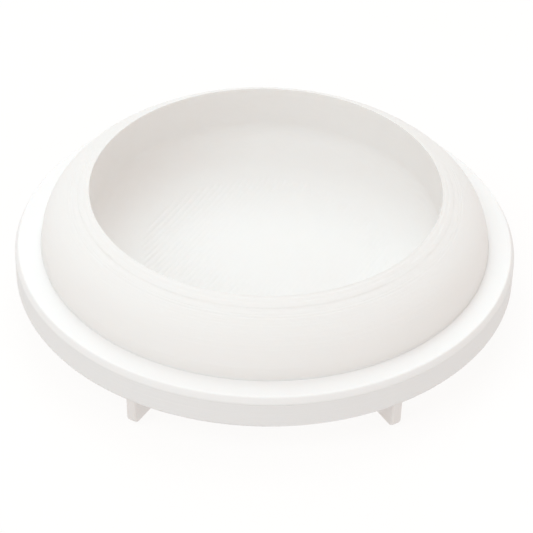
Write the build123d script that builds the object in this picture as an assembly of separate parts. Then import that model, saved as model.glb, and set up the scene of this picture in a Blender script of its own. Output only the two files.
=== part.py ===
from build123d import *
import os
from math import cos, radians, sin

# A round mixing dish in three kinds of piece: a drop-in bowl with a rounded collar,
# a flat flange ring that carries it, and six blade feet that plug into the ring.
# Millimetres. +Z is up. The origin is on the table, under the middle of the dish.

# Driving dimensions: flange ring
ring_diameter = 50.0
ring_thickness = 3.4
ring_top_round = 0.7
ring_bottom_round = 0.2
ledge_width = 2.6  # flat ledge left showing outside the collar
bore_clearance = 0.2  # radial gap between the bowl's plug and the ring's bore
bore_lead_in = 0.3  # chamfer round the mouth of the bore

# Driving dimensions: bowl
shoulder_width = 2.4  # underside of the collar that rests on the ring
collar_height = 6.2
collar_width = 5.0  # from the foot of the collar in to the rim, seen from above
collar_side_angle = 85.0  # slope of the collar where it leaves the ring, degrees
collar_side_pull = 0.57  # how far that slope holds, as a share of the collar's height
collar_rim_angle = 31.0  # slope of the collar where it reaches the rim, degrees
collar_rim_pull = 0.68  # how far that slope holds, as a share of the collar's width
lip_round = 0.15
wall_drop = 4.4  # straight inner wall below the rim
floor_thickness = 1.1
floor_curve_width = 8.0  # the concave sweep from the wall to the flat floor
floor_curve_fullness = 0.56  # 0.55 is an ellipse
plug_lead_in = 0.35  # chamfer round the bottom of the plug

# Driving dimensions: feet
foot_count = 6
foot_height = 2.85
foot_thickness = 1.05
foot_taper = 0.05  # taken off each side towards the bottom
foot_length = 3.4  # along the ring's radius, from its outer wall
foot_round = 0.25  # along both sides of the foot's underside
toe_round = 0.9  # where the outer wall turns under the foot
tenon_length = 1.8
tenon_height = 1.7
tenon_clearance = 0.05  # on every side of a tenon in its slot

# Places that follow from those sizes
ring_radius = ring_diameter / 2
collar_radius = ring_radius - ledge_width
plug_radius = collar_radius - shoulder_width
bore_radius = plug_radius + bore_clearance
rim_radius = collar_radius - collar_width
floor_radius = rim_radius - floor_curve_width
ring_bottom_z = foot_height
ring_top_z = ring_bottom_z + ring_thickness
rim_z = ring_top_z + collar_height
wall_foot_z = rim_z - wall_drop
floor_z = ring_bottom_z + floor_thickness
tenon_middle = ring_radius - foot_length / 2
slot_length = tenon_length + 2 * tenon_clearance
slot_thickness = foot_thickness + 2 * tenon_clearance
slot_depth = tenon_height + tenon_clearance
foot_names = ["foot_right", "foot_back_right", "foot_back_left", "foot_left", "foot_front_left", "foot_front_right"]


def revolve_outline(corners):
    """Turn a closed outline, drawn in the XZ plane, into a solid of revolution."""
    with BuildPart() as turned:
        with BuildSketch(Plane.XZ):
            with BuildLine():
                corners()
            make_face()
        revolve(axis=Axis.Z)
    return turned.part


def edge_circles(solid, radius, height):
    """The circular edges of a solid at one radius and height."""
    near = 0.001
    circles = solid.edges().filter_by(GeomType.CIRCLE)
    return [c for c in circles if abs(c.radius - radius) < near and abs(c.arc_center.Z - height) < near]


def make_bowl():
    """The plug, the shoulder, the rounded collar and the dished well, in one turning."""
    side = radians(collar_side_angle)
    slope = radians(collar_rim_angle)
    side_reach = collar_side_pull * collar_height
    rim_reach = collar_rim_pull * collar_width
    foot_of_collar = (collar_radius, ring_top_z)
    side_handle = (collar_radius - side_reach * cos(side), ring_top_z + side_reach * sin(side))
    rim_handle = (rim_radius + rim_reach * cos(slope), rim_z - rim_reach * sin(slope))
    rim = (rim_radius, rim_z)
    wall_foot = (rim_radius, wall_foot_z)
    wall_handle = (rim_radius, wall_foot_z - floor_curve_fullness * (wall_foot_z - floor_z))
    floor_handle = (floor_radius + (1 - floor_curve_fullness) * floor_curve_width, floor_z)

    def outline():
        Polyline(
            (0, floor_z),
            (0, ring_bottom_z),
            (plug_radius, ring_bottom_z),
            (plug_radius, ring_top_z),
            foot_of_collar,
        )
        Bezier(foot_of_collar, side_handle, rim_handle, rim)
        Line(rim, wall_foot)
        Bezier(wall_foot, wall_handle, floor_handle, (floor_radius, floor_z))
        Line((floor_radius, floor_z), (0, floor_z))

    bowl = revolve_outline(outline)
    bowl = chamfer(edge_circles(bowl, plug_radius, ring_bottom_z), plug_lead_in)
    bowl = fillet(edge_circles(bowl, rim_radius, rim_z), lip_round)
    return bowl


def make_tenon_tool(length, thickness, height):
    """A block on the underside of the ring, centred on a foot that points along +X."""
    block = Box(length, thickness, height, align=(Align.CENTER, Align.CENTER, Align.MIN))
    return Pos(tenon_middle, 0, ring_bottom_z) * block


def make_ring():
    """The flat ring: a bore for the plug, a rounded outer edge and a slot for each foot."""
    base = Cylinder(ring_radius, ring_thickness, align=(Align.CENTER, Align.CENTER, Align.MIN))
    bore = Cylinder(bore_radius, ring_thickness, align=(Align.CENTER, Align.CENTER, Align.MIN))
    ring = Pos(0, 0, ring_bottom_z) * (base - bore)
    ring = fillet(edge_circles(ring, ring_radius, ring_top_z), ring_top_round)
    ring = fillet(edge_circles(ring, ring_radius, ring_bottom_z), ring_bottom_round)
    ring = chamfer(edge_circles(ring, bore_radius, ring_top_z), bore_lead_in)
    slot = make_tenon_tool(slot_length, slot_thickness, slot_depth)
    for index in range(foot_count):
        ring -= Rot(0, 0, index * 360 / foot_count) * slot
    return ring


def make_foot():
    """One blade foot along +X, its outer end curved like the ring's wall and rounded under."""
    half_top = foot_thickness / 2
    half_bottom = half_top - foot_taper
    with BuildPart() as blade:
        with BuildSketch(Plane.YZ.offset(ring_radius - foot_length)):
            with BuildLine():
                Polyline(
                    (-half_top, foot_height),
                    (-half_bottom, 0),
                    (half_bottom, 0),
                    (half_top, foot_height),
                    close=True,
                )
            make_face()
        extrude(amount=foot_length)
        bottom_edges = blade.edges().filter_by(Axis.X).group_by(Axis.Z)[0]
        fillet(bottom_edges, foot_round)
    wall = Cylinder(ring_radius, foot_height, align=(Align.CENTER, Align.CENTER, Align.MIN))
    wall = fillet(edge_circles(wall, ring_radius, 0), toe_round)
    tenon = make_tenon_tool(tenon_length, foot_thickness, tenon_height)
    return (blade.part & wall) + tenon


def write_node(name, shape):
    """Write one node, under its own name, as a STEP file."""
    shape.label = name
    export_step(shape, os.path.join("parts", name + ".step"))
    print(name, "volume", round(shape.volume, 2), "mm3")


os.makedirs("parts", exist_ok=True)
write_node("bowl", make_bowl())
write_node("flange_ring", make_ring())
foot = make_foot()
for index, foot_name in enumerate(foot_names):
    write_node(foot_name, Rot(0, 0, index * 360 / foot_count) * foot)
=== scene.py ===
# %% [markdown]
# # A printed mixing dish
# The dish is a small tool for mixing paint: a bowl with a rounded collar sits in a flat ring, and the
# ring stands on six thin blades. Every piece was printed in warm white plastic, so its surface is a
# record of how it was made: stacked layers on the walls, side-by-side lines on the floor, and the
# grain of the print bed on the face that was printed first. This lesson builds that surface twice,
# as real steps in the mesh where the eye can follow them, and as fine grain in the material.

# %% Load the frame
from math import cos, pi, radians, sin, sqrt, tau

import bpy
import numpy as np
from mathutils import Matrix, Vector
from mathutils.geometry import delaunay_2d_cdt


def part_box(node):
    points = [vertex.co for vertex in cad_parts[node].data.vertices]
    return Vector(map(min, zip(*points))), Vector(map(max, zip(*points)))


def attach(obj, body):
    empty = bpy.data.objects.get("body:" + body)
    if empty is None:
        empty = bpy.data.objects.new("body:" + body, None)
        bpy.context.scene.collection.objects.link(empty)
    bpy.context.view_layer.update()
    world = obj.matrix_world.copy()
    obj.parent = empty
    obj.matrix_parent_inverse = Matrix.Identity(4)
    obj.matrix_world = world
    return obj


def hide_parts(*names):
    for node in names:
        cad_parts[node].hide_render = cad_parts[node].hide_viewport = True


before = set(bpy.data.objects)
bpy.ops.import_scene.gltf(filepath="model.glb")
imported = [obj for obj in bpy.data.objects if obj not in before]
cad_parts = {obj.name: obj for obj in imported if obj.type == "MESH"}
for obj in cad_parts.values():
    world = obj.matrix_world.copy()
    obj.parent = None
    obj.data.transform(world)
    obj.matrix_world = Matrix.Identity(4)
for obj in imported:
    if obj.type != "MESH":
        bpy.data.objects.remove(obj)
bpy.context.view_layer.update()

# %% [markdown]
# ## Sizes
# The frame already knows how large each piece is, so the radii and heights are read from the boxes
# of its nodes. Only the shapes between those limits, such as the slope of the collar, are given here.

# %% Read the sizes
MM = 0.001
_, bowl_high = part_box("bowl")
ring_low, ring_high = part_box("flange_ring")
collar_radius = bowl_high.x
rim_top = bowl_high.z
ring_radius = ring_high.x
ring_bottom = ring_low.z
ring_top = ring_high.z
dish_middle = Vector((0, 0, ring_top))

shoulder_width = 2.4 * MM
collar_width = 5.0 * MM
plug_radius = collar_radius - shoulder_width
opening_radius = collar_radius - collar_width
bore_clearance = 0.2 * MM
bore_radius = plug_radius + bore_clearance
print("ring", round(ring_radius / MM, 2), "collar", round(collar_radius / MM, 2), "mm in radius")

# %% [markdown]
# ## How it was printed
# A printer lays a bead of plastic about half a millimetre wide and a fifth of a millimetre high. One
# layer is one lap of beads, and each lap strays by about a hundredth of a millimetre. These few
# numbers are shared by every step and groove below, so one machine seems to have made the pieces.

# %% Print settings
LAYER = 0.2 * MM
BEAD = 0.55 * MM
ROUND_STEPS = 360
SEED = 8
rng = np.random.default_rng(SEED)
around = np.arange(ROUND_STEPS) * tau / ROUND_STEPS
print("layers of", LAYER / MM, "mm, beads of", BEAD / MM, "mm,", ROUND_STEPS, "steps round the axis")

# %% [markdown]
# ## The camera
# The dish is seen from the front and above, from far enough away that its ellipses are nearly those
# of a long lens. The camera is set up from its distance, its height angle, a slight tilt of the
# horizon and the small offset of the middle of the dish from the middle of the frame.

# %% Place the camera
camera_distance = 212.4 * MM
camera_height_angle = radians(37.0)
camera_side_angle = radians(-0.7)
horizon_tilt = radians(1.18)
lens_length = 142.95
sensor_width = 36
clip_start = 10 * MM
aim_right, aim_down = 0.15 * MM, 3.21 * MM

level_right = Vector((cos(camera_side_angle), sin(camera_side_angle), 0))
towards_camera = Vector((sin(camera_side_angle), -cos(camera_side_angle), 0))
back = towards_camera * cos(camera_height_angle) + Vector((0, 0, 1)) * sin(camera_height_angle)
level_up = back.cross(level_right)
camera_right = level_right * cos(horizon_tilt) + level_up * sin(horizon_tilt)
camera_up = level_up * cos(horizon_tilt) - level_right * sin(horizon_tilt)
camera_place = dish_middle + back * camera_distance
aim = dish_middle + camera_right * aim_right - camera_up * aim_down
look_back = (camera_place - aim).normalized()
look_right = camera_up.cross(look_back).normalized()
look_up = look_back.cross(look_right)

camera_data = bpy.data.cameras.new("studio_camera")
camera_data.lens = lens_length
camera_data.sensor_width = sensor_width
camera_data.clip_start = clip_start
camera = bpy.data.objects.new("studio_camera", camera_data)
turn = Matrix((look_right, look_up, look_back)).transposed()
camera.matrix_world = Matrix.Translation(camera_place) @ turn.to_4x4()
bpy.context.scene.collection.objects.link(camera)
bpy.context.scene.camera = camera
print("camera at", [round(v / MM, 1) for v in camera_place], "mm")

# %% [markdown]
# ## Light
# White plastic on a white floor shows its shape only through soft differences in light. The room is
# pale and a little warm, and cool panels add direction. A panel behind and one at the front left do
# most of the work, with a weaker one overhead and another at the right. Three low panels, at the
# left, front and right, reach in over the rim to the walls of the well. Each panel is placed by its
# direction from the dish: an angle round from the front towards the right, and an angle above level.

# %% Light the dish
scene = bpy.context.scene
scene.view_settings.view_transform = "Standard"
panel_distance = 0.7
panel_size = 0.5
panel_colour = (0.73, 0.915, 1.0)
room_colour, room_strength = (0.66, 0.57, 0.52, 1.0), 1.0


def add_panel(name, side_angle, height_angle, watts):
    """A soft square light that faces the middle of the dish."""
    panel = bpy.data.lights.new(name, "AREA")
    panel.shape = "SQUARE"
    panel.size = panel_size
    panel.energy = watts
    panel.color = panel_colour
    side, rise = radians(side_angle), radians(height_angle)
    outwards = Vector((sin(side) * cos(rise), -cos(side) * cos(rise), sin(rise)))
    lamp = bpy.data.objects.new(name, panel)
    lamp.location = dish_middle + outwards * panel_distance
    lamp.rotation_euler = outwards.to_track_quat("Z", "Y").to_euler()
    scene.collection.objects.link(lamp)


add_panel("overhead_panel", 0, 90, 0.52)
add_panel("back_panel", 180, 50, 1.9)
add_panel("front_left_panel", 300, 50, 1.4)
add_panel("right_panel", 60, 50, 0.16)
add_panel("low_left_panel", 300, 20, 0.19)
add_panel("low_front_panel", 0, 20, 0.54)
add_panel("low_right_panel", 60, 20, 0.49)

world = bpy.data.worlds.new("pale_room")
world.use_nodes = True
background = world.node_tree.nodes["Background"]
background.inputs["Color"].default_value = room_colour
background.inputs["Strength"].default_value = room_strength
scene.world = world

# %% [markdown]
# ## Shader arithmetic
# A material is a small program made of nodes. The class below lets that program be written as
# ordinary arithmetic on sockets, and one method adds any other node, so that each finish further
# down reads as a few lines and not as a page of links.

# %% Shader helpers


class Value:
    """A number that varies over a surface: one output socket, with Python's arithmetic."""

    def __init__(self, finish, socket):
        self.finish = finish
        self.socket = socket

    def joined(self, operation, other):
        return self.finish.node("ShaderNodeMath", {"operation": operation}, {0: self, 1: other})

    def __add__(self, other):
        return self.joined("ADD", other)

    def __mul__(self, other):
        return self.joined("MULTIPLY", other)

    __radd__ = __add__
    __rmul__ = __mul__


class Finish:
    """A material under construction."""

    def __init__(self, name):
        self.material = bpy.data.materials.new(name)
        self.material.use_nodes = True
        self.tree = self.material.node_tree
        self.tree.nodes.clear()

    def node(self, kind, settings=None, inputs=None, output=0):
        """Add a node: its settings first, then the values or links of its sockets."""
        made = self.tree.nodes.new(kind)
        for key, value in (settings or {}).items():
            setattr(made, key, value)
        for key, value in (inputs or {}).items():
            if isinstance(value, Value):
                self.tree.links.new(value.socket, made.inputs[key])
            else:
                made.inputs[key].default_value = value
        return Value(self, made.outputs[output]) if made.outputs else None

    def noise(self, place, scale, detail):
        """Noise that varies over the surface, its bumps about one over the scale apart."""
        return self.node("ShaderNodeTexNoise", None, {"Vector": place, "Scale": scale, "Detail": detail})

    def mixed(self, factor, first, second):
        """A colour between two others, by a factor that is kept between nought and one."""
        settings = {"data_type": "RGBA", "clamp_factor": True}
        return self.node("ShaderNodeMix", settings, {0: factor, 6: first, 7: second}, output=2)


# %% [markdown]
# ## Printed plastic
# Matte white plastic looks flat unless three small things vary: its colour by a shade from place to
# place, its roughness where the nozzle ironed the bead, and its fine relief. The relief is noise of
# two kinds: an even grain on level faces, and streaks that are drawn out along the layers, because a
# bead wrinkles along its own length.
# The colour also holds painted light and shade: level faces are coloured a little lighter, and upright faces
# can be coloured darker, in place of the way the light falls on tops and walls.

# %% Printed plastic finish
blotch_scale, streak_scale, grain_scale = 160.0, 5200.0, 3600.0
streak_stretch = (0.12, 0.12, 1.0)
blotch_colour = (0.3, 0.29, 0.28, 1.0)
blotch_strength = 0.03
# painted light: how much lighter level faces are coloured than the plastic's own shade
painted_level_light = 0.006
translucency = 0.2
light_depth = 0.4 * MM
red_green_blue_depth = (1.0, 0.85, 0.75)


def printed_plastic(name, shade, grain_depth, streak_depth, painted_wall_shade=1.0):
    """Warm white plastic with bead streaks on its walls and a fine grain all over.

    The last argument says how much darker upright faces are coloured than level ones: painted shade,
    and level faces get a little painted light, in place of how the light falls on walls and tops.
    """
    finish = Finish(name)
    place = finish.node("ShaderNodeTexCoord", output="Object")
    drawn_out = finish.node("ShaderNodeMapping", None, {"Vector": place, "Scale": streak_stretch})
    blotches = finish.noise(place, blotch_scale, 3.0)
    streaks = finish.noise(drawn_out, streak_scale, 2.0)
    grain = finish.noise(place, grain_scale, 4.0)

    facing = finish.node("ShaderNodeTexCoord", output="Normal")
    level = finish.node("ShaderNodeSeparateXYZ", None, {"Vector": facing}, output="Z")
    # Painted light and shade: the colour is mixed by how far each face looks up, lighter on level faces and
    # darker on upright ones.
    painted_light_tone = [painted_level_light + channel for channel in shade] + [1.0]
    painted_shade_tone = [painted_wall_shade * channel for channel in shade] + [1.0]
    face = finish.mixed(level, painted_shade_tone, painted_light_tone)
    tone = blotches * 0.7 + streaks * 0.3
    colour = finish.mixed(blotch_strength * tone, face, blotch_colour)
    roughness = 0.5 + 0.16 * grain + 0.06 * streaks
    height = grain * level * grain_depth + streaks * streak_depth
    bump = finish.node("ShaderNodeBump", None, {"Strength": 1.0, "Distance": 1.0, "Height": height})
    surface = finish.node(
        "ShaderNodeBsdfPrincipled",
        {"subsurface_method": "RANDOM_WALK"},
        {
            "Base Color": colour,
            "Roughness": roughness,
            "Normal": bump,
            "IOR": 1.46,
            "Specular IOR Level": 0.35,
            "Subsurface Weight": translucency,
            "Subsurface Radius": red_green_blue_depth,
            "Subsurface Scale": light_depth,
        },
    )
    finish.node("ShaderNodeOutputMaterial", None, {"Surface": surface})
    print(name, len(finish.tree.nodes), "nodes")
    return finish.material


bowl_plastic = printed_plastic("bowl_plastic", (0.831, 0.807, 0.786), 0.012 * MM, 0.002 * MM)
# The ring is coloured lighter than the bowl on its top and darker on its upright faces: painted light and
# painted shade.
ring_plastic = printed_plastic("ring_plastic", (0.884, 0.864, 0.85), 0.012 * MM, 0.002 * MM, 0.86)
# The feet are the same plastic coloured darker: painted shade for the shadow under the flange.
foot_plastic_painted_shade = printed_plastic("foot_plastic_painted_shade", (0.738, 0.704, 0.684), 0.008 * MM, 0.003 * MM)

# %% [markdown]
# ## The floor
# A plain white sheet, large enough to fill the frame from every side. It is lit from below like a
# light table, so it stays white right up to the dish and lifts the shade under the flange.

# %% Lay the floor
card_dark, card_light = (0.11, 0.11, 0.11, 1.0), (0.12, 0.12, 0.12, 1.0)
card_grain_scale = 400.0
glow_colour, glow_strength = (1.0, 0.99, 0.98, 1.0), 0.88

card = Finish("floor_card")
card_grain = card.node("ShaderNodeTexNoise", None, {"Scale": card_grain_scale, "Detail": 2.0})
card_colour = card.mixed(card_grain, card_dark, card_light)
card_face = card.node("ShaderNodeBsdfDiffuse", None, {"Color": card_colour})
card_glow = card.node("ShaderNodeEmission", None, {"Color": glow_colour, "Strength": glow_strength})
card_surface = card.node("ShaderNodeAddShader", None, {0: card_face, 1: card_glow})
card.node("ShaderNodeOutputMaterial", None, {"Surface": card_surface})

floor_half = 3.0
floor_mesh = bpy.data.meshes.new("studio_floor")
floor_corners = [(x * floor_half, y * floor_half, 0) for x, y in ((-1, -1), (1, -1), (1, 1), (-1, 1))]
floor_mesh.from_pydata(floor_corners, [], [(0, 1, 2, 3)])
floor_mesh.materials.append(card.material)
floor = bpy.data.objects.new("studio_floor", floor_mesh)
scene.collection.objects.link(floor)
print("floor", 2 * floor_half, "m across")

# %% [markdown]
# ## Turning a stepped outline
# Each round piece is an outline turned about the upright axis. The outline is a list of stations,
# each with a radius, a height, the direction that faces out of the plastic and its layer. The turned
# mesh then pushes every layer in by its own small amount, which also changes slowly on the way round,
# and that wandering is what makes the contour lines of a real print look drawn by hand.

# %% Turning helpers
STATION_PHASES = np.array([0.06, 0.2, 0.36, 0.52, 0.68, 0.84, 0.94])
TREAD_SHARE = 0.8  # the part of a layer that is tread; the rest is riser
STAIR_SPREAD = 1.2  # a smaller value makes the stairs less alike
STAIR_COUNT = 200  # more layers than any stretch reaches
WAVES = range(1, 9)


def lap_wander(layers, amount):
    """How far each layer's lap strays, one row per layer and one column per step round the axis."""
    total = np.zeros((layers, ROUND_STEPS))
    for waves in WAVES:
        size = rng.normal(0, amount / sqrt(waves), layers)
        shift = rng.uniform(0, tau, layers)
        total += size[:, None] * np.cos(waves * around[None, :] + shift[:, None])
    return total + rng.normal(0, amount, layers)[:, None]


def layered_stretch(heights, radii, facing, step_share, bulge):
    """Stations along one stretch of an outline, a few for every layer.

    heights and radii trace the smooth outline upwards, and facing is +1 where plastic is on the
    axis side and -1 where the stretch looks inwards. step_share says how much of a true stair the
    slopes show, and bulge how far a bead swells on an upright wall.
    """
    first, last = heights[0] / LAYER, heights[-1] / LAYER
    ticks = (np.arange(np.floor(first), np.ceil(last))[:, None] + STATION_PHASES).ravel()
    ticks = np.concatenate([[first], ticks[(ticks > first) & (ticks < last)], [last]])
    z = ticks * LAYER
    r = np.interp(z, heights, radii)
    slope_r = np.gradient(r, z)
    out_r = facing / np.sqrt(1 + slope_r**2)
    out_z = -facing * slope_r / np.sqrt(1 + slope_r**2)
    phase = ticks - np.floor(ticks)
    stair = np.where(phase < TREAD_SHARE, phase / TREAD_SHARE, (1 - phase) / (1 - TREAD_SHARE))
    swell = 1 - (2 * phase - 1) ** 2
    stairs = rng.gamma(STAIR_SPREAD, 1 / STAIR_SPREAD, STAIR_COUNT)[np.floor(ticks).astype(int)]
    shares = np.interp(z, heights, step_share) * stairs
    depth = shares * LAYER * np.abs(out_z) * (stair - 1) + bulge * (swell - 1)
    return {"r": r, "z": z, "out_r": out_r, "out_z": out_z, "push": depth, "layer": np.floor(ticks)}


def join_stretches(*stretches):
    """One list of stations out of several stretches, in order."""
    return {key: np.concatenate([s[key] for s in stretches]) for key in stretches[0]}


def plain_stretch(points):
    """Stations on a stretch with no layers to show, such as a face that lay on the print bed."""
    r, z = np.array(points, float).T
    still = np.zeros_like(r)
    return {"r": r, "z": z, "out_r": still, "out_z": still, "push": still, "layer": np.floor(z / LAYER)}


def flipped(stretch):
    """The same stretch, followed the other way."""
    return {key: values[::-1] for key, values in stretch.items()}


def layer_rows(stations):
    """The layer of each station, counted from the lowest one."""
    return (stations["layer"] - stations["layer"].min()).astype(int)


def turned_grid(stations, wander, extra=0.0):
    """Points of the turned outline: one row per station and one column per step round the axis."""
    move = stations["push"][:, None] + wander[layer_rows(stations)] + extra
    r = stations["r"][:, None] + move * stations["out_r"][:, None]
    z = stations["z"][:, None] + move * stations["out_z"][:, None]
    return np.stack([r * np.cos(around), r * np.sin(around), z * np.ones_like(r)], axis=2)


def grid_faces(rows, closed, columns=ROUND_STEPS):
    """Quads between neighbouring rows of a turned grid; closed joins the last row to the first."""
    pairs = [(row * columns, (row + 1) % rows * columns) for row in range(rows if closed else rows - 1)]
    steps = [(step, (step + 1) % columns) for step in range(columns)]
    return [(low + near, low + far, high + far, high + near) for low, high in pairs for near, far in steps]


def add_piece(name, points, faces, material, body, nodes):
    """A finished mesh piece that rides on a body and stands for some nodes of the frame."""
    mesh = bpy.data.meshes.new(name)
    mesh.from_pydata([tuple(p) for p in points], [], faces)
    mesh.validate()
    mesh.update()
    mesh.materials.append(material)
    mesh.shade_smooth()
    piece = bpy.data.objects.new(name, mesh)
    scene.collection.objects.link(piece)
    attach(piece, body)
    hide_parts(*nodes)
    print(name, len(mesh.vertices), "points", len(mesh.polygons), "faces")


# %% [markdown]
# ## The bowl's outline
# The collar and the sweep of the well are both single Bezier curves. A curve's end handles say how
# steeply it leaves each end and how long it keeps to that slope, which is how a designer would draw
# them. The straight plug below the shoulder is hidden until the bowl is lifted out.

# %% Draw the bowl's outline
BEZIER_POINTS = 400


def bezier(*corners):
    """Points along a cubic Bezier curve: its start, the two handles and its end are given."""
    t = np.linspace(0, 1, BEZIER_POINTS)[:, None]
    shares = ((1 - t) ** 3, 3 * (1 - t) ** 2 * t, 3 * (1 - t) * t**2, t**3)
    return sum(share * np.array(corner) for share, corner in zip(shares, corners))


collar_side_angle, collar_side_pull = radians(85), 0.57
collar_rim_angle, collar_rim_pull = radians(31), 0.68
lip_round = 0.04 * MM
lip_drop = 0.115 * MM
wall_drop = 4.4 * MM
floor_thickness = 1.1 * MM
floor_curve_width = 8.0 * MM
floor_curve_fullness = 0.56

rim_corner = rim_top + lip_drop
collar_height = rim_corner - ring_top
side_reach = collar_side_pull * collar_height
rim_reach = collar_rim_pull * collar_width
collar_curve = bezier(
    (collar_radius, ring_top),
    (collar_radius - side_reach * cos(collar_side_angle), ring_top + side_reach * sin(collar_side_angle)),
    (opening_radius + rim_reach * cos(collar_rim_angle), rim_corner - rim_reach * sin(collar_rim_angle)),
    (opening_radius, rim_corner),
)
wall_foot = rim_corner - wall_drop
floor_height = ring_bottom + floor_thickness
floor_radius = opening_radius - floor_curve_width
well_curve = bezier(
    (opening_radius, wall_foot),
    (opening_radius, wall_foot - floor_curve_fullness * (wall_foot - floor_height)),
    (floor_radius + (1 - floor_curve_fullness) * floor_curve_width, floor_height),
    (floor_radius, floor_height),
)
well_depth = rim_top - floor_height
print("collar", round(collar_height / MM, 2), "mm high, well", round(well_depth / MM, 2), "mm deep")

# %% [markdown]
# ## Shape the collar's two ends
# The last laps round the rim lie flat, so the curve is lowered there by the height that was added to
# its corner. The first layer was squashed and flares out a little, which takes the hard shade out of
# the corner between the collar and the ring.

# %% Shape the collar's ends
band_width = 1.2 * MM
foot_flare = 0.08 * MM
flare_height = 0.13 * MM
flare_fade = 9  # the flare dies away over this many times its own height

lip_share = np.clip(1 - (collar_curve[:, 0] - opening_radius) / band_width, 0, 1)
collar_curve[:, 1] -= lip_drop * lip_share
flare_rise = (collar_curve[:, 1] - ring_top) / flare_height
flare_share = np.clip(flare_rise, 0, 1) * np.clip(1 - (flare_rise - 1) / flare_fade, 0, 1)
collar_curve[:, 0] -= foot_flare * flare_share
collar_top = np.argmax(collar_curve[:, 1] > rim_top - lip_round)
print("collar leans from", round(collar_curve[0, 0] / MM, 2), "to", round(collar_curve[-1, 0] / MM, 2), "mm")

# %% [markdown]
# ## Put the bowl's walls on layers
# Each stretch of the outline becomes stations, from the plug's foot up over the rim and down into
# the well. The lip is a small round, since a nozzle can't leave a knife edge. The floor is left open
# here, as a hole with a known edge, because its lines run straight across and don't follow the
# turning.

# %% Lay out the outside of the bowl
wall_stair, rim_stair = 0.008, 0.12
rim_stair_reach = 3.2 * MM
bowl_bulge = 0.001 * MM
corner_break = 0.003 * MM
plug_lead_in = 0.35 * MM
plug_foot = ring_bottom + plug_lead_in

collar_radii, collar_heights = collar_curve[1:collar_top].T
near_rim = np.clip(1 - (collar_radii - opening_radius) / rim_stair_reach, 0, 1)
collar_stairs = wall_stair + (rim_stair - wall_stair) * near_rim
collar_stretch = layered_stretch(collar_heights, collar_radii, 1, collar_stairs, bowl_bulge)
shoulder_stretch = plain_stretch(
    [
        (plug_radius, ring_top),
        (collar_radius - corner_break, ring_top),
        (collar_radius, ring_top + corner_break),
        (collar_radius, ring_top + 2 * corner_break),
    ]
)
base_stretch = plain_stretch([(plug_radius - plug_lead_in, ring_bottom), (plug_radius, plug_foot)])
print("collar has", len(collar_stretch["r"]), "stations")

# %% Lay out the inside of the bowl
patch_edge_height = floor_height + 0.45 * MM
lip_turns = np.radians(np.linspace(100, 0, 6))

wall_points = np.array([(opening_radius, rim_top - lip_round), (opening_radius, wall_foot)])
well_points = np.concatenate([wall_points, well_curve[1:]])[::-1]
well_radii, well_heights = well_points.T
above_patch = well_heights > patch_edge_height
patch_radius = float(np.interp(patch_edge_height, well_heights, well_radii))
well_stretch = layered_stretch(
    np.append(patch_edge_height, well_heights[above_patch]),
    np.append(patch_radius, well_radii[above_patch]),
    -1,
    np.full(above_patch.sum() + 1, wall_stair),
    bowl_bulge,
)
lip_r, lip_z = opening_radius + lip_round, rim_top - lip_round
lip_points = [(lip_r - lip_round * cos(turn), lip_z + lip_round * sin(turn)) for turn in lip_turns]
lip_stretch = plain_stretch(lip_points)
plug_stretch = layered_stretch(
    np.array([plug_foot, ring_top]), np.array([plug_radius, plug_radius]), 1, [0, 0], bowl_bulge
)
print("well has", len(well_stretch["r"]), "stations; floor", round(patch_radius / MM, 2), "mm in radius")

# %% [markdown]
# ## Roughen the laps
# Near the rim the collar is so shallow that each lap barely covers the one below. Two things show
# there: the last laps form a band that stands a little proud, and every lap has small blobs and gaps
# along it.

# %% Roughen the laps
tread_width = 0.7 * MM
riser_width = 0.16 * MM
band_step = 0.08 * MM
band_floor = ring_top + 3 * MM
band_side = radians(215)
bead_spread = 0.28
lap_stray = 0.0006 * MM
blob_depth = 0.015 * MM
blob_reach = 4.2 * MM
blob_share_elsewhere = 0.3


def smoothed(values):
    """Each value with a share of its two neighbours on the way round."""
    return (np.roll(values, 1, axis=-1) + 2 * values + np.roll(values, -1, axis=-1)) / 4


def rim_band_step(stations):
    """How far the collar sinks just outside the band round the rim."""
    outside = (stations["out_r"] > 0) & (stations["z"] > band_floor)
    from_rim = stations["r"] - opening_radius
    tread = np.clip((band_width + tread_width - from_rim) / tread_width, 0, 1)
    riser = np.clip((from_rim - band_width + riser_width) / riser_width, 0, 1)
    sink = np.where(outside, tread * riser, 0)
    side = 0.6 + 0.4 * np.clip(0.5 + 0.8 * np.cos(around - band_side), 0, 1)
    beads = smoothed(rng.normal(0, bead_spread, ROUND_STEPS))
    strength = side * (1 + 0.2 * np.cos(5 * around) + 0.12 * np.cos(13 * around + 1) + beads)
    return -band_step * sink[:, None] * strength


def lap_blobs(stations):
    """Small blobs and gaps along each lap, strongest near the rim."""
    layers = layer_rows(stations)
    blobs = smoothed(rng.normal(0, blob_depth, (layers.max() + 1, ROUND_STEPS)))
    outside = (stations["out_r"] > 0) & (stations["z"] > ring_top)
    near_rim = np.clip(1 - (stations["r"] - opening_radius) / blob_reach, 0, 1)
    return np.where(outside, near_rim, blob_share_elsewhere)[:, None] * blobs[layers]


# %% Turn the bowl's walls
bowl_stations = join_stretches(
    base_stretch, plug_stretch, shoulder_stretch, collar_stretch, lip_stretch, flipped(well_stretch)
)
bowl_layers = layer_rows(bowl_stations).max() + 1
bowl_wander = lap_wander(bowl_layers, lap_stray)
surface_detail = rim_band_step(bowl_stations) + lap_blobs(bowl_stations)
bowl_grid = turned_grid(bowl_stations, bowl_wander, surface_detail)
print("bowl has", len(bowl_stations["r"]), "stations on", bowl_layers, "layers")

# %% [markdown]
# ## Lay the floor of the well
# The last layers of the floor are straight beads side by side. Their ridges are a height map on a
# grid that is fine across the beads and coarse along them. A triangulation joins that grid to the
# open edge of the turned walls, point for point, so bowl and floor are one closed skin.

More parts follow.
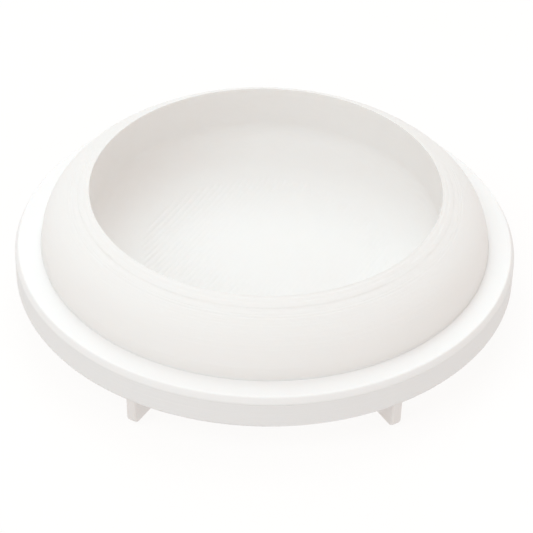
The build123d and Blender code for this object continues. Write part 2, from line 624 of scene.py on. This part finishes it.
# %% Lay the beads
bead_direction = radians(62)
bead_depth = 0.03 * MM
bead_spread_height = 0.004 * MM
BEAD_COUNT = 400  # more beads than cross the floor
across_step = BEAD / 8
along_step = 0.4 * MM
edge_gap = 0.12 * MM

reach = patch_radius - edge_gap
across, along = np.meshgrid(
    np.arange(-reach, reach, across_step), np.arange(-reach, reach, along_step), indexing="ij"
)
inside = np.hypot(across, along) < reach
across, along = across[inside], along[inside]
patch_x = along * np.cos(bead_direction) - across * np.sin(bead_direction)
patch_y = along * np.sin(bead_direction) + across * np.cos(bead_direction)
patch_r = np.hypot(patch_x, patch_y)
print("floor has", len(patch_r), "points on", int(2 * reach / BEAD), "beads")

# %% [markdown]
# The beads don't show equally everywhere. They are faint in the middle, where the nozzle ironed them,
# deeper towards the front left, and deepest where the floor starts to rise.

# %% Raise the beads
front_left_side = radians(215)
outward_from, outward_over = 4.0 * MM, 3.0 * MM
sweep_from, sweep_over = 9.5 * MM, 1.5 * MM
middle_share, outward_share, sweep_share = 0.2, 0.9, 0.7
fade_width = 0.5 * MM
patch_sink = 0.01 * MM

bead = np.floor(across / BEAD)
bead_phase = across / BEAD - bead
bead_lift = rng.normal(0, bead_spread_height, BEAD_COUNT)[(bead + BEAD_COUNT // 2).astype(int)]
front_left = 0.5 + 0.5 * np.cos(np.arctan2(patch_y, patch_x) - front_left_side)
outward = np.clip((patch_r - outward_from) / outward_over, 0, 1) * front_left
foot_of_sweep = np.clip((patch_r - sweep_from) / sweep_over, 0, 1)
strength = middle_share + outward_share * outward + sweep_share * foot_of_sweep
ridge = strength * (bead_lift - bead_depth * (2 * bead_phase - 1) ** 2)
fade = np.clip((patch_radius - patch_r) / fade_width, 0, 1)
patch_z = np.interp(patch_r, well_radii, well_heights) + (ridge - patch_sink) * fade
print("beads rise between", round(ridge.min() / MM, 3), "and", round(ridge.max() / MM, 3), "mm")

# %% Join the beads to the walls
flat_points = [Vector((x, y)) for x, y, _ in bowl_grid[-1]] + [Vector(p) for p in zip(patch_x, patch_y)]
edge_links = [(step, (step + 1) % ROUND_STEPS) for step in range(ROUND_STEPS)]
patch_points, _, patch_faces, _, _, _ = delaunay_2d_cdt(flat_points, edge_links, [], 1, 1e-9)
print("floor patch", len(patch_points), "points", len(patch_faces), "faces")

# %% Join the bowl
rows = len(bowl_grid)
edge_start = (rows - 1) * ROUND_STEPS
bowl_points = [tuple(p) for p in bowl_grid.reshape(-1, 3)]
bowl_faces = grid_faces(rows, closed=False)
inner_start = len(bowl_points)
bowl_points += [(x, y, z) for x, y, z in zip(patch_x, patch_y, patch_z)]


def patch_index(index):
    """Where a point of the triangulated patch is in the bowl's own list."""
    return edge_start + index if index < ROUND_STEPS else inner_start + index - ROUND_STEPS


bowl_faces += [tuple(patch_index(i) for i in face) for face in patch_faces]
base_centre = len(bowl_points)
bowl_points.append((0, 0, ring_bottom))
bowl_faces += [(base_centre, (step + 1) % ROUND_STEPS, step) for step in range(ROUND_STEPS)]
add_piece("printed_bowl", bowl_points, bowl_faces, bowl_plastic, "bowl", ["bowl"])

# %% [markdown]
# ## The flange ring
# The ring was printed upside down, so its top face copied the texture of the print bed, and its top
# edge is the eased slope that a first layer needs. Its wall shows layers, and the small round at the
# bottom catches the light as a fine line.

# %% Size the ring's edges
edge_width = 0.34 * MM
edge_drop = 0.6 * MM
edge_blend = 0.14 * MM
bottom_round = 0.2 * MM
bore_lead_in = 0.3 * MM
ring_bulge = 0.003 * MM
ring_stray = 0.0015 * MM
wall_margin = 0.012 * MM  # keeps the wandering wall inside the ring's own size
underside_reach = 2.5 * MM
wall_radius = ring_radius - wall_margin


def eased_corner(before, corner, after):
    """A few points that round one corner of an outline, from one side of it to the other."""
    t = np.linspace(0, 1, 6)[:, None]
    return (1 - t) ** 2 * np.array(before) + 2 * t * (1 - t) * np.array(corner) + t**2 * np.array(after)


# %% Draw the ring's outline
slope_length = sqrt(edge_width**2 + edge_drop**2)
slope_in, slope_up = edge_width * edge_blend / slope_length, edge_drop * edge_blend / slope_length
wall_corner = (wall_radius, ring_top - edge_drop)
face_corner = (wall_radius - edge_width, ring_top)
wall_ease = eased_corner(
    (wall_radius, wall_corner[1] - edge_blend),
    wall_corner,
    (wall_radius - slope_in, wall_corner[1] + slope_up),
)
face_ease = eased_corner(
    (face_corner[0] + slope_in, ring_top - slope_up), face_corner, (face_corner[0] - edge_blend, ring_top)
)
bottom_turns = np.radians(np.linspace(90, 0, 5))
top_face_radii = np.linspace(face_ease[-1][0], bore_radius + bore_lead_in, 34)[1:]
wall_layers = layered_stretch(
    np.array([ring_bottom + bottom_round, wall_ease[0][1]]),
    np.array([wall_radius, wall_radius]),
    1,
    [0, 0],
    ring_bulge,
)
print("ring wall has", len(wall_layers["r"]), "stations")

# %% Turn the ring
ring_stations = join_stretches(
    plain_stretch([(bore_radius, ring_bottom), (ring_radius - underside_reach, ring_bottom)]),
    plain_stretch(
        [
            (wall_radius - bottom_round * (1 - cos(turn)), ring_bottom + bottom_round * (1 - sin(turn)))
            for turn in bottom_turns
        ]
    ),
    wall_layers,
    plain_stretch(np.concatenate([wall_ease, face_ease])),
    plain_stretch([(r, ring_top) for r in top_face_radii]),
    plain_stretch([(bore_radius, ring_top - bore_lead_in)]),
)
ring_wander = lap_wander(layer_rows(ring_stations).max() + 1, ring_stray)
ring_grid = turned_grid(ring_stations, ring_wander)
ring_points = ring_grid.reshape(-1, 3)
ring_faces = grid_faces(len(ring_grid), closed=True)
add_piece("printed_ring", ring_points, ring_faces, ring_plastic, "ring", ["flange_ring"])

# %% [markdown]
# ## The feet
# Each foot is a thin blade along the ring's radius. Its outer end follows the ring's wall and turns
# under in a large round, its two long bottom edges have a small one, and its faces lean in a little.
# So it is modelled as a stack of slightly smaller loops and closed at both ends.

# %% Make the feet
foot_length = 3.4 * MM
foot_thickness = 1.05 * MM
foot_taper = 0.05 * MM
foot_round = 0.25 * MM
toe_round = 0.9 * MM
edge_round = 0.2 * MM
foot_names = [
    "foot_right", "foot_back_right", "foot_back_left", "foot_left", "foot_front_left", "foot_front_right"
]
foot_sink = 0.22 * MM  # how far each foot goes up into the ring
layer_swell = 0.006 * MM


def rounded_in(z, size):
    """How far a quarter-round edge of a given size has drawn in at a height above its bottom."""
    return size - sqrt(size**2 - (size - min(z, size)) ** 2)


def foot_loop(z):
    """The plan of a foot at one height: a blade with two rounded corners at its outer end."""
    phase = z / LAYER - np.floor(z / LAYER)
    half = foot_thickness / 2 - foot_taper * max(0, 1 - z / ring_bottom) - rounded_in(z, foot_round)
    half -= layer_swell * (2 * phase - 1) ** 2
    reach = wall_radius - rounded_in(z, toe_round)
    corner_y = half - edge_round
    corner_x = sqrt(reach**2 - corner_y**2) - edge_round
    turns = np.linspace(0, pi / 2, 6)
    corner = [(corner_x + edge_round * sin(turn), corner_y + edge_round * cos(turn)) for turn in turns]
    end_face = [(sqrt(reach**2 - y**2), y) for y in np.linspace(-corner_y, corner_y, 7)[1:-1]]
    side = [(x, half) for x in np.linspace(ring_radius - foot_length, corner_x, 14)[:-1]]
    far_half = side + corner
    near_half = [(x, -y) for x, y in far_half]
    return [(x, y, z) for x, y in near_half + end_face + far_half[::-1]]


def foot_mesh(angle):
    """Points and faces of one foot, at an angle round the ring."""
    foot_top = ring_bottom + foot_sink
    levels = [*np.linspace(0, foot_round, 12)[:-1], *np.arange(foot_round, foot_top, LAYER / 4), foot_top]
    loops = [foot_loop(z) for z in levels]
    count = len(loops[0])
    points = [p for loop in loops for p in loop]
    faces = grid_faces(len(loops), closed=False, columns=count)
    faces.append(tuple(range(count))[::-1])
    faces.append(tuple((len(loops) - 1) * count + i for i in range(count)))
    turned = [(x * cos(angle) - y * sin(angle), x * sin(angle) + y * cos(angle), z) for x, y, z in points]
    return turned, faces


for index, foot_name in enumerate(foot_names):
    points, faces = foot_mesh(index * pi / 3)
    add_piece("printed_" + foot_name, points, faces, foot_plastic_painted_shade, "ring", [foot_name])
